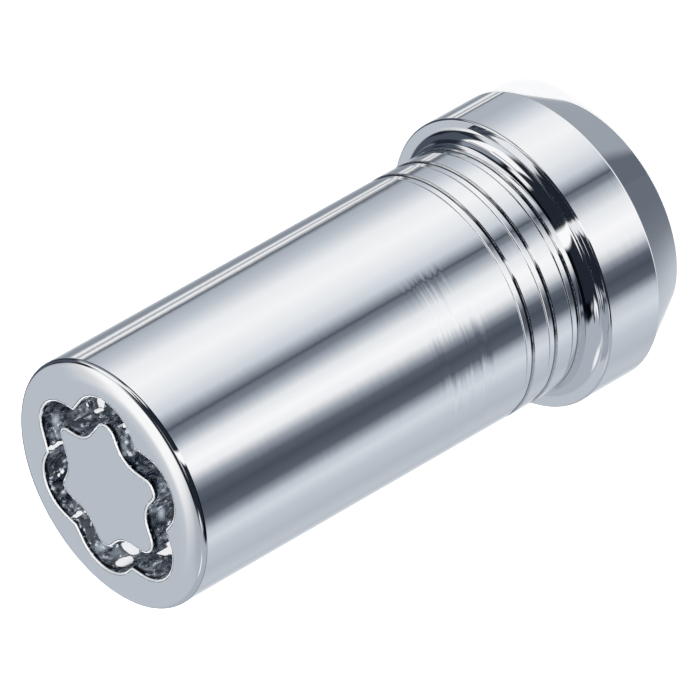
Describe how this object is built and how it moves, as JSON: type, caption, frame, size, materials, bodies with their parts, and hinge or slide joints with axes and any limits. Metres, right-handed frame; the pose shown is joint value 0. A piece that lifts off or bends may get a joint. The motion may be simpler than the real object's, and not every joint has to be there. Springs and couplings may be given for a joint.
{
  "type": "lug nut",
  "caption": "Long round chromed wheel nut with a cone seat, a flange, turned rings, a blind threaded hole and a wavy key groove in its closed end.",
  "frame": {"origin": "centre of the seat end's flat ring, on the nut's axis", "axes": "+Z along the nut's axis, from the seat end to the key face; +X and +Y square to it, with the key groove's code starting from +X"},
  "size_m": [0.0246, 0.0246, 0.0503],
  "materials": {
    "chrome": "bright chrome plate over turned steel"
  },
  "bodies": {
    "root": {"lug_nut": "chrome"}
  },
  "joints": []
}
